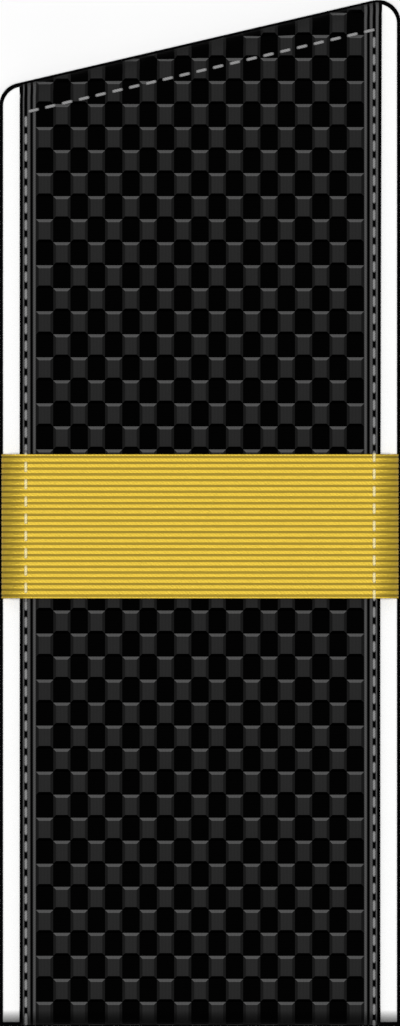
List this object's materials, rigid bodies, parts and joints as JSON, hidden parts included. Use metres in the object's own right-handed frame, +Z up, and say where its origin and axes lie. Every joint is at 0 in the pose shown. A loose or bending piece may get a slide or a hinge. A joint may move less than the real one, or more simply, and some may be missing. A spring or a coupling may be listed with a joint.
{
  "type": "shoulder board",
  "caption": "Sewn-on shoulder board: black checked galloon with white edging and one wide ribbed gold band, one end slanted with rounded corners.",
  "frame": {"origin": "middle of the underside, on the surface that the board lies on", "axes": "+X across the board towards its higher corner, +Y along it towards the slanted end, +Z up through its thickness"},
  "size_m": [0.05, 0.1282, 0.0049],
  "materials": {
    "backing_cloth": "black wool cloth",
    "edging_cloth": "white wool broadcloth",
    "field_galloon": "black galloon woven in raised checks",
    "gold_galloon": "ribbed gold galloon",
    "stitching": "grey sewing thread"
  },
  "bodies": {
    "root": {"backing": "backing_cloth", "edging": "edging_cloth", "field": "field_galloon", "band": "gold_galloon"}
  },
  "joints": []
}
